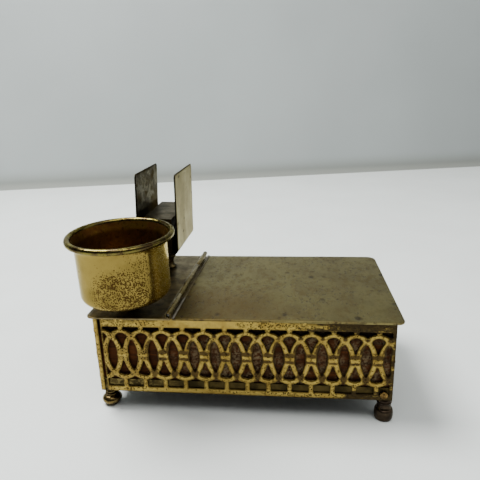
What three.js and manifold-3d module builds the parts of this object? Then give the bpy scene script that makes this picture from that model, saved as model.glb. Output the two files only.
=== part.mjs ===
// A smoker's companion: a wood-lined desk box with pierced brass sides on four turned feet.
// Its top carries a brass cup and a matchbox holder at the left, and a hinged flat lid at the right.
// Units are millimetres, +Z is up and the feet stand on z = 0.
// The parts are placed from the middle of the top plate. The whole is then shifted, so that the
// origin lies under the middle of its bounding box.
import * as THREE from "three";
import { mergeVertices } from "three/addons/utils/BufferGeometryUtils.js";
import Module from "manifold-3d";

const wasm = await Module();
wasm.setup();

// ---- driving dimensions ----
const FIT = 0.1; // gap between two pieces that lie together
const SHEET = 0.6; // brass sheet of the sides and the tray

const PLATE = { length: 130, depth: 78, thickness: 0.85, frontRadius: 3, backRadius: 4.5 };
const BODY = { left: -63.5, right: 62.5, depth: 72, height: 36.35 };
const FOOT = { height: 10.3, bun: 4.25, neck: 2.95, base: 2.6, shank: 1.1, shankLength: 3.2 };
// The feet are set a little unevenly: the left ones stand closer together than the right ones.
const FEET = [
  { name: "foot_front_left", x: -61.4, y: -30 },
  { name: "foot_front_right", x: 59.8, y: -33 },
  { name: "foot_back_left", x: -61.4, y: 30 },
  { name: "foot_back_right", x: 59.8, y: 33 },
];

const PATTERN = {
  pitch: 8.935, // from one tie to the next
  strand: 2.45, // width of an interlaced strand
  middle: 18.35, // height of the ovals' middle above the panel's lower edge
  ovalRise: 11.05, // half the height of an oval, on its centre line
  upperTie: 2.2,
  lowerTie: 2.1,
  upperBorder: 4.9,
  lowerBorder: 2.6,
};
const FRONT_TIE_X = -51.57; // one tie of the front panel, which sets where the pattern falls
const EDGE = 0.65; // rim left whole at a panel's two ends, where the pattern is cut off
const RETURN_FLANGE = 2.5; // the left panel is folded round both left corners
const SEAM = 0.8;
const RIVET = { radius: 1.6, height: 0.7, x: 58.9, z: 2.7 };

const TRAY_FLANGE = 5.75;
const WOOD = { wall: 3, floor: 3, partition: 2.5 };

const HINGE = {
  x: -28.6, // where its axis crosses the plate's middle line
  skew: -1.3, // degrees about Z: the front end stands further left
  rise: 1.35, // axis above the plate's top
  barrel: 1.2,
  bore: 0.75,
  pin: 0.68,
  frontEnd: -38.9,
  backEnd: 39.2,
  knuckle: 20.2, // length of each fixed knuckle
  endGap: 0.15,
  leaf: 0.35,
  leafWidth: 2.5,
  pinFront: -38.5,
  pinBack: 40.2,
};

const CUP = {
  x: -51.4,
  y: -23.6,
  tilt: 1.9, // degrees about X: the cup leans forward on its screw
  lift: 4.2, // underside above the plate
  wall: 19.35,
  sheet: 0.7,
  corner: 3.2,
  height: 27.3, // underside to the middle of the rolled rim
  rim: 21.48,
  bead: 1.34,
  spacer: 5.5,
};
const SCREW = { shank: 1.4, head: 2.8, headHeight: 1.5, clearance: 1.5, nut: 2.9, nutHeight: 2 };
const LEAN_GAP = 0.3; // gap under and over the plate for the pieces that lean

const HOLDER = {
  x: -43.7,
  y: 20.6,
  lean: 1.5, // degrees about Y: the holder leans to the right on its pillar
  width: 19.4, // across the top
  spread: 0.9, // the left side stands this much further out at its foot
  depth: 36.8,
  sheet: 0.8,
  bottom: 13.2, // underside above the plate
  top: 52.3,
  bend: 3,
  topCorner: 2,
};
const SEAT = { x: -0.3, width: 14.1, depth: 36.4, top: 31.2, sheet: 0.8 };
const PILLAR = { radius: 3.8, waist: 2.5 };

// ---- heights ----
const bodyBottom = FOOT.height;
const bodyTop = bodyBottom + BODY.height;
const plateBottom = bodyTop + FIT;
const plateTop = plateBottom + PLATE.thickness;
const hingeZ = plateTop + HINGE.rise;
const halfDepth = BODY.depth / 2;

// ---- materials ----
const paint = (color, roughness, metalness) =>
  new THREE.MeshStandardMaterial({ color, roughness, metalness });
const GOLD_BRASS = paint(0xb79a4c, 0.35, 1);
const DULL_BRASS = paint(0x6f6547, 0.45, 1);
const PALE_BRASS = paint(0x9c937a, 0.4, 1);
const STEEL = paint(0x8a8883, 0.4, 1);
const CEDAR = paint(0x5a3222, 0.75, 0);

// ---- solids ----
function toSolid(geometry) {
  const bare = geometry.clone();
  bare.deleteAttribute("normal");
  bare.deleteAttribute("uv");
  const merged = mergeVertices(bare, 1e-4);
  return new wasm.Manifold(
    new wasm.Mesh({
      numProp: 3,
      vertProperties: merged.attributes.position.array,
      triVerts: new Uint32Array(merged.index.array),
    }),
  );
}

function toGeometry(solid) {
  const mesh = solid.getMesh();
  return new THREE.BufferGeometry()
    .setAttribute("position", new THREE.BufferAttribute(mesh.vertProperties, 3))
    .setIndex(new THREE.BufferAttribute(mesh.triVerts, 1));
}

const join = (...geometries) =>
  toGeometry(geometries.map(toSolid).reduce((whole, next) => whole.add(next)));
const cut = (geometry, ...tools) =>
  toGeometry(tools.map(toSolid).reduce((rest, tool) => rest.subtract(tool), toSolid(geometry)));
const common = (a, b) => toGeometry(toSolid(a).intersect(toSolid(b)));

// A box from its low corner to its high corner.
function block(x0, x1, y0, y1, z0, z1) {
  return new THREE.BoxGeometry(x1 - x0, y1 - y0, z1 - z0).translate(
    (x0 + x1) / 2,
    (y0 + y1) / 2,
    (z0 + z1) / 2,
  );
}

// A turned piece: [radius, height] points, upwards along the outside and closed on themselves
// or on the axis.
function turned(profile, sides) {
  const points = profile.map(([radius, height]) => new THREE.Vector2(radius, height));
  return new THREE.LatheGeometry(points, sides).rotateX(Math.PI / 2);
}

// Points along an arc in a profile, from one angle to another in degrees.
function arc(x, y, radius, from, to, steps) {
  return Array.from({ length: steps + 1 }, (_, i) => {
    const angle = THREE.MathUtils.degToRad(from + ((to - from) * i) / steps);
    return [x + radius * Math.cos(angle), y + radius * Math.sin(angle)];
  });
}

const polygon = (points) => new THREE.Shape(points.map(([x, y]) => new THREE.Vector2(x, y)));
const circle = (radius, sides = 16) => polygon(arc(0, 0, radius, 0, 360 * (1 - 1 / sides), sides - 1));
const flat = (shape, thickness) =>
  new THREE.ExtrudeGeometry(shape, { depth: thickness, bevelEnabled: false });

// A drill along Z, long enough to go through any sheet or board that starts near z = 0.
const drill = (x, y, radius, sides = 12) =>
  new THREE.CylinderGeometry(radius, radius, 20, sides).rotateX(Math.PI / 2).translate(x, y, 0);

// A rod along Y.
const rod = (radius, y0, y1, sides) =>
  new THREE.CylinderGeometry(radius, radius, y1 - y0, sides).translate(0, (y0 + y1) / 2, 0);

const object = new THREE.Group();
function part(name, geometry, material, x = 0, y = 0, z = 0, group = object) {
  const mesh = new THREE.Mesh(geometry, material);
  mesh.name = name;
  mesh.position.set(x, y, z);
  group.add(mesh);
}

// A group whose pieces are placed from a point of the object and turned about it.
function turnedGroup(x, y, z, rotation) {
  const group = new THREE.Group();
  group.position.set(x, y, z);
  group.rotation.set(...rotation.map(THREE.MathUtils.degToRad));
  object.add(group);
  return group;
}

// ---- pierced panels ----
// The ovals stand one pitch apart and are two pitches wide, so each crosses its neighbours.
// What lies between the strands is cut out: a boat, a fan, a lens, a lower fan and a window.
const { pitch, strand, middle } = PATTERN;
const inner = { a: pitch - strand, b: PATTERN.ovalRise - strand / 2 };
const outer = { a: pitch, b: PATTERN.ovalRise + strand / 2 };
const width = (oval, y) => oval.a * Math.sqrt(Math.max(0, 1 - (y / oval.b) ** 2));
const rise = (oval, x) => oval.b * Math.sqrt(Math.max(0, 1 - (x / oval.a) ** 2));
const steps = (count, from, to) =>
  Array.from({ length: count }, (_, i) => from + ((to - from) * i) / (count - 1));
const mirrored = (right) => [...right, ...right.map(([x, y]) => [-x, y]).reverse()];

function lensHole() {
  const tip = rise(inner, pitch / 2);
  const right = steps(4, -0.75, 0.75).map((t) => [width(inner, t * tip) - pitch / 2, t * tip]);
  return [[0, -tip], ...right, [0, tip], ...right.map(([x, y]) => [-x, y]).reverse()];
}

function fanHole(side) {
  const shoulder = 8.6;
  const point = 3;
  const sideOf = (y) => [pitch - width(outer, y), side * y];
  const crown = [1.4, -1.4].map((x) => [x, side * rise(inner, x)]);
  const right = steps(2, 6, shoulder).map(sideOf);
  const outline = [[0, side * point], ...right, ...crown, ...right.map(([x, y]) => [-x, y]).reverse()];
  return side > 0 ? outline : outline.reverse();
}

// The hole between a border and the ovals, from one tie to the next.
function borderHole(edge, tie, side) {
  const end = (pitch - tie) / 2;
  const lower = [end, 0, -end].map((x) => [
    x,
    side * rise(outer, pitch / 2 - Math.abs(x)),
  ]);
  const outline = [[-end, side * edge], [end, side * edge], ...lower];
  return side > 0 ? outline.reverse() : outline;
}

// A pierced panel in its own plane: u along it, v up from its lower edge. Ties stand at tie + n * pitch.
function piercedPanel(from, to, tie) {
  const height = BODY.height;
  const upper = borderHole(height - PATTERN.upperBorder - middle, PATTERN.upperTie, 1);
  const lower = borderHole(middle - PATTERN.lowerBorder, PATTERN.lowerTie, -1);
  const first = Math.floor((from - tie) / pitch);
  const last = Math.ceil((to - tie) / pitch);
  const holes = [];
  for (let n = first; n <= last; n += 1) {
    const atTie = tie + n * pitch;
    const punch = (hole, at) => holes.push(hole.map(([u, v]) => [u + at, v + middle]));
    for (const hole of [fanHole(1), fanHole(-1)]) punch(hole, atTie);
    for (const hole of [upper, lower, lensHole()]) punch(hole, atTie + pitch / 2);
  }
  const punches = flat(holes.map(polygon), 3 * SHEET).translate(0, 0, -SHEET);
  const window = block(from + EDGE, to - EDGE, 0, height, -SHEET, 2 * SHEET);
  return cut(block(from, to, 0, height, 0, SHEET), common(punches, window));
}

const upright = (geometry) => geometry.rotateX(Math.PI / 2); // the panel's v goes up, its depth to -Y
const frontFrom = BODY.left + RETURN_FLANGE + SEAM;
const sideReach = halfDepth - SHEET - FIT;

part("gallery_front", upright(piercedPanel(frontFrom, BODY.right, FRONT_TIE_X)), GOLD_BRASS,
  0, -halfDepth + SHEET, bodyBottom);
part("gallery_back", upright(piercedPanel(frontFrom, BODY.right, FRONT_TIE_X)), GOLD_BRASS,
  0, halfDepth, bodyBottom);
part("gallery_right",
  upright(piercedPanel(-sideReach, sideReach, 0)).rotateZ(Math.PI / 2), GOLD_BRASS,
  BODY.right - SHEET, 0, bodyBottom);

function leftPanel() {
  const wall = upright(piercedPanel(-halfDepth + SHEET / 2, halfDepth - SHEET / 2, 0))
    .rotateZ(Math.PI / 2)
    .translate(BODY.left, 0, 0);
  const flange = (y0) =>
    block(BODY.left, BODY.left + RETURN_FLANGE, y0, y0 + SHEET, 0, BODY.height);
  return join(wall, flange(-halfDepth), flange(halfDepth - SHEET));
}
part("gallery_left", leftPanel(), GOLD_BRASS, 0, 0, bodyBottom);

// Rivets hold the free right ends of the front and back panels to the tray's flange.
function rivet() {
  const { radius, height } = RIVET;
  const crown = [[radius * 0.9, height * 0.6], [radius * 0.45, height], [0, height]];
  return turned([[0, 0], [radius, 0], ...crown], 16);
}
part("rivet_front_right", rivet().rotateX(Math.PI / 2), GOLD_BRASS,
  RIVET.x, -halfDepth - FIT, bodyBottom + RIVET.z);
part("rivet_back_right", rivet().rotateX(-Math.PI / 2), GOLD_BRASS,
  RIVET.x, halfDepth + FIT, bodyBottom + RIVET.z);

// ---- bottom tray and wooden liner ----
const trayLeft = BODY.left + SHEET + FIT;
const trayRight = BODY.right - SHEET - FIT;
const trayDepth = halfDepth - SHEET - FIT;
const footHoles = () => FEET.map(({ x, y }) => drill(x, y, FOOT.shank + FIT));

function bottomTray() {
  const outside = block(trayLeft, trayRight, -trayDepth, trayDepth, 0, TRAY_FLANGE);
  const hollow = block(
    trayLeft + SHEET, trayRight - SHEET, SHEET - trayDepth, trayDepth - SHEET, SHEET, TRAY_FLANGE + 1,
  );
  return cut(outside, hollow, ...footHoles());
}
part("bottom_tray", bottomTray(), DULL_BRASS, 0, 0, bodyBottom);

const woodLeft = trayLeft + SHEET + FIT;
const woodRight = trayRight - SHEET - FIT;
const woodDepth = trayDepth - SHEET - FIT;
const floorBottom = bodyBottom + SHEET + FIT;
const wallBottom = floorBottom + WOOD.floor + FIT;
const woodTop = bodyTop - FIT;
const innerDepth = woodDepth - WOOD.wall;
const partitionLeft = HINGE.x - WOOD.partition - 0.6;

const floorBoard = block(woodLeft, woodRight, -woodDepth, woodDepth, 0, WOOD.floor);
part("liner_floor", cut(floorBoard, ...footHoles()), CEDAR, 0, 0, floorBottom);
const board = (name, x0, x1, y0, y1) => part(name, block(x0, x1, y0, y1, wallBottom, woodTop), CEDAR);
board("liner_front", woodLeft, woodRight, -woodDepth, -innerDepth);
board("liner_back", woodLeft, woodRight, innerDepth, woodDepth);
const between = innerDepth - FIT;
board("liner_left", woodLeft, woodLeft + WOOD.wall, -between, between);
board("liner_right", woodRight - WOOD.wall, woodRight, -between, between);
board("liner_partition", partitionLeft, partitionLeft + WOOD.partition, -between, between);

// ---- feet ----
function foot() {
  const { height, bun, neck, base, shank, shankLength } = FOOT;
  const bunMiddle = 2.1;
  const bunTop = 4.1;
  return turned(
    [
      [0, 0],
      [base, 0],
      [bun * 0.88, 0.7],
      [bun, bunMiddle],
      [bun * 0.9, bunTop - 0.6],
      [neck * 0.96, bunTop],
      [neck * 0.85, bunTop + 1.2],
      [neck * 0.9, height - 2.2],
      [neck, height - 1.6],
      [neck, height - FIT],
      [shank, height - FIT],
      [shank, height + shankLength],
      [0, height + shankLength],
    ],
    20,
  );
}
for (const { name, x, y } of FEET) part(name, foot(), DULL_BRASS, x, y);

// ---- top plates ----
// Half of the top: rounded at its two outer corners and straight along the skewed hinge.
function topPlate(x0, x1) {
  const y = PLATE.depth / 2;
  const slant = -y * Math.tan(THREE.MathUtils.degToRad(HINGE.skew));
  const outerX = Math.abs(x0) > Math.abs(x1) ? x0 : x1;
  const hingeX = outerX === x0 ? x1 : x0;
  const side = Math.sign(outerX);
  const { frontRadius: front, backRadius: back } = PLATE;
  const outline = [
    ...arc(outerX - side * front, front - y, front, 270, 270 + side * 90, 5),
    ...arc(outerX - side * back, y - back, back, 90 - side * 90, 90, 5),
  ];
  return flat(polygon([...outline, [hingeX + slant, y], [hingeX - slant, -y]]), PLATE.thickness);
}
const fixedEdge = HINGE.x + 0.8;
const lidEdge = HINGE.x + HINGE.barrel + 0.25;
const studHoles = [CUP, HOLDER].map(({ x, y }) => drill(x, y, SCREW.clearance + LEAN_GAP, 16));
part("fixed_plate", cut(topPlate(-PLATE.length / 2, fixedEdge), ...studHoles), DULL_BRASS,
  0, 0, plateBottom);
part("lid_plate", topPlate(lidEdge, PLATE.length / 2), DULL_BRASS, 0, 0, plateBottom);

// ---- hinge ----
const frontJoint = HINGE.frontEnd + HINGE.knuckle;
const backJoint = HINGE.backEnd - HINGE.knuckle;
const BARREL_SIDES = 24;
const barrel = (y0, y1) => rod(HINGE.barrel, y0, y1, BARREL_SIDES);
const bore = rod(HINGE.bore, HINGE.frontEnd - 1, HINGE.backEnd + 1, BARREL_SIDES);
const leafBottom = -HINGE.rise + FIT / 2;
const leafTop = leafBottom + HINGE.leaf;
const leafGap = HINGE.barrel + 0.15;

function fixedLeaf() {
  return cut(
    join(
      block(-HINGE.leafWidth, -leafGap, HINGE.frontEnd, HINGE.backEnd, leafBottom, leafTop),
      block(-HINGE.leafWidth, 0, HINGE.frontEnd, frontJoint, leafBottom, leafTop),
      block(-HINGE.leafWidth, 0, backJoint, HINGE.backEnd, leafBottom, leafTop),
      barrel(HINGE.frontEnd, frontJoint),
      barrel(backJoint, HINGE.backEnd),
    ),
    bore,
  );
}
function lidLeaf() {
  const y0 = frontJoint + HINGE.endGap;
  const y1 = backJoint - HINGE.endGap;
  return cut(
    join(
      block(leafGap, HINGE.leafWidth, HINGE.frontEnd, HINGE.backEnd, leafBottom, leafTop),
      block(0, HINGE.leafWidth, y0, y1, leafBottom, leafTop),
      barrel(y0, y1),
    ),
    bore,
  );
}
const hinge = turnedGroup(HINGE.x, 0, hingeZ, [0, 0, HINGE.skew]);
part("hinge_leaf_fixed", fixedLeaf(), DULL_BRASS, 0, 0, 0, hinge);
part("hinge_leaf_lid", lidLeaf(), DULL_BRASS, 0, 0, 0, hinge);
part("hinge_pin", rod(HINGE.pin, HINGE.pinFront, HINGE.pinBack, BARREL_SIDES), STEEL, 0, 0, 0, hinge);

// ---- cup ----
const cupGroup = turnedGroup(CUP.x, CUP.y, plateTop, [CUP.tilt, 0, 0]);
function cup() {
  const { wall, sheet, corner, height, rim, bead } = CUP;
  const flare = rim - bead - wall + sheet;
  return turned(
    [
      [SCREW.clearance, 0],
      ...arc(wall - corner, corner, corner, -90, 0, 4),
      [wall, height - 3],
      [wall + flare * 0.5, height - bead],
      ...arc(rim, height, bead, -120, 180, 6),
      [wall - sheet, height - 3.5],
      ...arc(wall - corner, corner, corner - sheet, 0, -90, 4),
      [SCREW.clearance, sheet],
      [SCREW.clearance, 0],
    ],
    40,
  );
}
part("cup", cup(), GOLD_BRASS, 0, 0, CUP.lift, cupGroup);

function cupSpacer() {
  const hole = SCREW.clearance;
  const radius = CUP.spacer;
  const height = CUP.lift - LEAN_GAP - FIT;
  const outside = [[radius, 0], [radius * 0.8, height / 2], [radius, height]];
  return turned([[hole, 0], ...outside, [hole, height], [hole, 0]], 20);
}
part("cup_spacer", cupSpacer(), DULL_BRASS, 0, 0, LEAN_GAP, cupGroup);

// ---- screws and nuts ----
const nutTop = -PLATE.thickness - LEAN_GAP;
// A round-headed screw whose head sits with its underside at z = 0.
function screw(length) {
  const { shank, head, headHeight } = SCREW;
  const dome = [[head, 0], [head * 0.8, headHeight * 0.7], [0, headHeight]];
  return turned([[0, -length], [shank, -length], [shank, 0], ...dome], 16);
}
function nut() {
  const shape = circle(SCREW.nut, 6);
  shape.holes.push(circle(SCREW.clearance));
  return flat(shape, SCREW.nutHeight);
}
const screwEnd = nutTop - SCREW.nutHeight - 0.8;
function fastening(prefix, group, headBottom) {
  part(prefix + "_screw", screw(headBottom - screwEnd), DULL_BRASS, 0, 0, headBottom, group);
  part(prefix + "_nut", nut(), DULL_BRASS, 0, 0, nutTop - SCREW.nutHeight, group);
}
fastening("cup", cupGroup, CUP.lift + CUP.sheet + FIT);

// ---- matchbox holder ----
const holderGroup = turnedGroup(HOLDER.x, HOLDER.y, plateTop, [0, HOLDER.lean, 0]);
// One sheet folded into a U, with its two upper corners rounded on each side.
function holderChannel() {
  const half = HOLDER.width / 2;
  const { sheet, bend, depth, topCorner, spread } = HOLDER;
  const height = HOLDER.top - HOLDER.bottom;
  const fold = bend - sheet;
  const leftBend = bend - half - spread;
  const outline = [
    [half, height],
    [half - sheet, height],
    ...arc(half - bend, bend, fold, 0, -90, 4),
    ...arc(leftBend, bend, fold, -90, -180, 4),
    [sheet - half, height],
    [-half, height],
    ...arc(leftBend, bend, bend, 180, 270, 4),
    ...arc(half - bend, bend, bend, -90, 0, 4),
  ];
  const folded = upright(flat(polygon(outline.reverse()), depth)).translate(0, depth / 2, 0);
  const silhouette = polygon([
    [-depth / 2, -1],
    [depth / 2, -1],
    ...arc(depth / 2 - topCorner, height - topCorner, topCorner, 0, 90, 4),
    ...arc(topCorner - depth / 2, height - topCorner, topCorner, 90, 180, 4),
  ]);
  const mask = upright(flat(silhouette, 2 * HOLDER.width))
    .rotateZ(Math.PI / 2)
    .translate(-HOLDER.width, 0, 0);
  const hole = turned([[0, -1], [SCREW.clearance, -1], [SCREW.clearance, 2], [0, 2]], 16);
  return cut(common(folded, mask), hole);
}
part("holder_channel", holderChannel(), PALE_BRASS, 0, 0, HOLDER.bottom, holderGroup);

// The seat is a folded box with no bottom, standing in the channel.
function matchSeat() {
  const { width: w, depth: d, top, sheet } = SEAT;
  const height = top - HOLDER.bottom - HOLDER.sheet - FIT;
  const shell = block(-w / 2, w / 2, -d / 2, d / 2, 0, height);
  const [x, y] = [w / 2 - sheet, d / 2 - sheet];
  return cut(shell, block(-x, x, -y, y, -1, height - sheet));
}
part("match_seat", matchSeat(), DULL_BRASS, SEAT.x, 0, HOLDER.bottom + HOLDER.sheet + FIT, holderGroup);

function pillar() {
  const { radius, waist } = PILLAR;
  const height = HOLDER.bottom - LEAN_GAP - FIT;
  const hole = SCREW.clearance;
  return turned(
    [
      [hole, 0],
      [radius, 0],
      [radius, 1.2],
      [waist, 2.6],
      [waist + 0.2, 5],
      [radius * 0.92, 6.4],
      [waist + 0.3, 7.8],
      [radius, height - 3],
      [radius, height],
      [hole, height],
      [hole, 0],
    ],
    20,
  );
}
part("holder_pillar", pillar(), DULL_BRASS, 0, 0, LEAN_GAP, holderGroup);
fastening("holder", holderGroup, HOLDER.bottom + HOLDER.sheet + FIT);

// ---- origin under the middle of the bounding box ----
const centre = new THREE.Box3().setFromObject(object, true).getCenter(new THREE.Vector3());
object.position.set(-centre.x, -centre.y, 0);

const model = new THREE.Group();
model.add(object);
export default model;
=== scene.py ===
"""The looks of a smoker's desk box: pierced brass sides and a wooden lining on four turned feet, with a
brass cup, a matchbox holder and a hinged lid on top.

Sizes are in millimetres, in the frame of the top plate: x runs along it, y from front to back, and z = 0
is its upper face. place() turns such a point into the row's metres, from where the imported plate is."""

from math import atan2, ceil, cos, dist, exp, floor, hypot, pi, radians, sin, sqrt, tan
from types import SimpleNamespace as Sizes

import bmesh
import bpy
import numpy as np
from mathutils import Matrix, Vector, geometry, kdtree, noise


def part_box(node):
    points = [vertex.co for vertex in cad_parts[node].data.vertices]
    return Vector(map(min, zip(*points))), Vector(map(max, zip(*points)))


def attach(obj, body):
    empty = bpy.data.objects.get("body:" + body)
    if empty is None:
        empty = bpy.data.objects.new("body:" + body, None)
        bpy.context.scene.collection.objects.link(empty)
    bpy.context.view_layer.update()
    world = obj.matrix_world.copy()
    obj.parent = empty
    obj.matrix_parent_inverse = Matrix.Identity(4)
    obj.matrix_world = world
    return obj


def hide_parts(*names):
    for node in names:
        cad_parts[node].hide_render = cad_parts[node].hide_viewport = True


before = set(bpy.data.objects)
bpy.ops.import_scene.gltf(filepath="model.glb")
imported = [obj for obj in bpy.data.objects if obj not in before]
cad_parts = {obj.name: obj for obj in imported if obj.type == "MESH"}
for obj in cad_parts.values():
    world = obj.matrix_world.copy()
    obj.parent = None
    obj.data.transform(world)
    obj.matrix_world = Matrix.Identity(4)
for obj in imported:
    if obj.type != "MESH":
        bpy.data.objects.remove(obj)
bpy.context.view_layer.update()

MM = 0.001  # in metres

# ---- where things are ----
fixed_low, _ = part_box("fixed_plate")
lid_low, lid_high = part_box("lid_plate")
TOP = Vector(((fixed_low.x + lid_high.x) / 2, (lid_low.y + lid_high.y) / 2, lid_high.z))
TO_ROW = Matrix.Translation(TOP) @ Matrix.Scale(MM, 4)


def place(x, y, z):
    return TO_ROW @ Vector((x, y, z))


def turned_at(spot, degrees, axis):
    """Turns a piece about an axis through its origin, then moves it to that spot."""
    return Matrix.Translation(spot) @ Matrix.Rotation(radians(degrees), 4, axis)


def plate_box(node):
    """A CAD node's lowest and highest corners, in the frame of the top plate."""
    return tuple((corner - TOP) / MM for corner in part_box(node))


FLOOR = -TOP.z / MM
BODY_LOW, BODY_HIGH = plate_box("gallery_left")[0], plate_box("gallery_right")[1]
PANEL_FOOT = BODY_LOW.z
PANEL_HEIGHT = BODY_HIGH.z - BODY_LOW.z
HALF_DEPTH = plate_box("gallery_back")[1].y
BODY_LEFT, BODY_RIGHT = BODY_LOW.x, BODY_HIGH.x

# ---- sizes ----
SHEET = 0.6  # brass of the panels
PITCH = 8.935  # of the ovals, from one tie to the next
STRAND = 2.45  # width of an interlaced strand
MIDDLE = 18.35  # height of the ovals' middle above a panel's foot
OVAL_RISE = 11.05  # half the height of an oval, on its centre line
UPPER_TIE, LOWER_TIE = 2.2, 2.1  # widths of the bars between the openings along the borders
UPPER_BORDER, LOWER_BORDER = 4.9, 2.6  # heights of the whole strips along a panel's top and foot
FRONT_TIE_X = -51.57  # where one of the front panel's ties stands
EDGE, END_EDGE = 0.65, 1.5  # what is left whole at a panel's start and end
RETURN_FLANGE = 2.5  # of the left panel, round both corners
PLATE = Sizes(length=130, depth=78, thickness=0.85, front_radius=3, back_radius=4.5, under_hinge=0.8,
              lid_gap=0.25)
HINGE = Sizes(x=-28.6, skew=-1.3, rise=1.35, barrel=1.2, wall=0.34, wire=0.68, wire_head=1.12, leaf=2.5,
              knuckle=20.2, front=-38.9, back=39.2)
CUP = Sizes(x=-51.4, y=-23.6, tilt=1.9, lift=4.2, wall=19.35, sheet=0.7, corner=3.2, height=27.3, rim=21.48,
            bead=1.34)
HOLDER = Sizes(x=-43.7, y=20.6, lean=1.5, width=19.4, spread=0.9, depth=36.8, sheet=0.8, bottom=13.2,
               top=52.3, bend=3, corner=2)
SCREW = Sizes(hole=1.5, shank=1.4, head=2.8, tall=1.5, slot=0.7, tail=2.8)
LEAN_GAP = 0.3  # left between the plate and a piece that leans


# ---- materials ----
class Finish:
    """A node material, built up step by step. Patterns are fixed to the piece and sized in millimetres."""

    def __init__(self, name, metallic=1.0, glance=(0.97, 0.94, 0.87)):
        """glance is the tint of the metal seen at a glancing angle."""
        self.material = bpy.data.materials.new(name)
        self.material.use_nodes = True
        self.tree = self.material.node_tree
        self.shader = self.tree.nodes["Principled BSDF"]
        self.feed(self.shader, {"Metallic": metallic})
        if metallic:
            self.feed(self.shader, {"Specular Tint": (*glance, 1)})
        self.place = self.add("ShaderNodeTexCoord", {}).outputs["Object"]

    def feed(self, node, inputs):
        """Sets a node's inputs to values, or links other nodes' outputs to them."""
        for key, value in inputs.items():
            if isinstance(value, bpy.types.NodeSocket):
                self.tree.links.new(value, node.inputs[key])
            else:
                node.inputs[key].default_value = value

    def add(self, kind, inputs, **settings):
        node = self.tree.nodes.new(kind)
        for key, value in settings.items():
            setattr(node, key, value)
        self.feed(node, inputs)
        return node

    def mapped(self, stretch, shift=(0, 0, 0)):
        scale = [s / MM for s in stretch]
        node = self.add("ShaderNodeMapping", {"Vector": self.place, "Scale": scale, "Location": shift})
        return node.outputs["Vector"]

    def noise(self, size, detail=3.0, rough=0.55, stretch=(1, 1, 1), shift=(0, 0, 0), warp=0.0):
        """Soft cloudy values about 0.5, with features of that size."""
        inputs = {"Vector": self.mapped(stretch, shift), "Scale": 1 / size, "Detail": detail,
                  "Roughness": rough, "Distortion": warp}
        return self.add("ShaderNodeTexNoise", inputs).outputs["Fac"]

    def cells(self, size, stretch=(1, 1, 1)):
        """Distance to the nearest of many scattered points, about that size apart."""
        inputs = {"Vector": self.mapped(stretch), "Scale": 1 / size}
        return self.add("ShaderNodeTexVoronoi", inputs, feature="F1").outputs["Distance"]

    def ramp(self, value, low, high, out_low=0.0, out_high=1.0):
        inputs = {"Value": value, "From Min": low, "From Max": high, "To Min": out_low, "To Max": out_high}
        return self.add("ShaderNodeMapRange", inputs, interpolation_type="SMOOTHSTEP").outputs["Result"]

    def calc(self, operation, a, b):
        return self.add("ShaderNodeMath", {0: a, 1: b}, operation=operation).outputs[0]

    def times(self, a, b):
        return self.calc("MULTIPLY", a, b)

    def plus(self, a, b):
        return self.calc("ADD", a, b)

    def minus(self, a, b):
        return self.calc("SUBTRACT", a, b)

    def most(self, a, b):
        return self.calc("MAXIMUM", a, b)

    def swing(self, value, size):
        """How far a cloudy value is from its middle, times size."""
        return self.times(self.minus(value, 0.5), size)

    def blend(self, amount, a, b):
        """Colour a where amount is 0, b where it is 1."""
        first, second = 6, 7  # the node's inputs for two colours
        node = self.add("ShaderNodeMix", {"Factor": amount, first: a, second: b}, data_type="RGBA")
        return node.outputs[2]

    def stain(self, colour, amount, share, over):
        """Lays another colour over one where amount is 1, by that share."""
        return self.blend(self.times(amount, share), colour, over)

    def value(self, attribute):
        """A value stored on the mesh's points."""
        return self.add("ShaderNodeAttribute", {}, attribute_name=attribute).outputs["Fac"]

    def near(self, point, reach, squash=(1, 1, 1)):
        """1 at a point of the top plate's frame, falling to 0 at that reach, and narrower by squash."""
        vector = self.place
        shrink = [s / (reach * MM) for s in squash]
        for operation, other in (("SUBTRACT", place(*point)), ("MULTIPLY", shrink)):
            vector = self.add("ShaderNodeVectorMath", {0: vector, 1: other}, operation=operation).outputs[0]
        length = self.add("ShaderNodeVectorMath", {0: vector}, operation="LENGTH")
        return self.ramp(length.outputs["Value"], 1.0, 0.2)

    def along(self, axis, start, end):
        """0 before start and 1 past end along an axis of the top plate's frame."""
        parts = self.add("ShaderNodeSeparateXYZ", {0: self.place})
        return self.ramp(parts.outputs[axis], TOP[axis] + start * MM, TOP[axis] + end * MM)

    def finish(self, colour, roughness, bumps):
        """bumps are (height, depth in millimetres) pairs."""
        self.feed(self.shader, {"Base Color": colour, "Roughness": roughness})
        normal = {}
        for height, depth in bumps:
            inputs = {"Distance": depth * MM, "Strength": 1.0, "Height": height, **normal}
            normal = {"Normal": self.add("ShaderNodeBump", inputs).outputs["Normal"]}
        self.feed(self.shader, normal)
        return self.material


def rgb(red, green, blue):
    """A linear colour with full alpha, from screen values up to 255."""
    def linear(value):
        share = value / 255
        return ((share + 0.055) / 1.055) ** 2.4 if value > 10 else share / 12.92
    return linear(red), linear(green), linear(blue), 1.0


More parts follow.
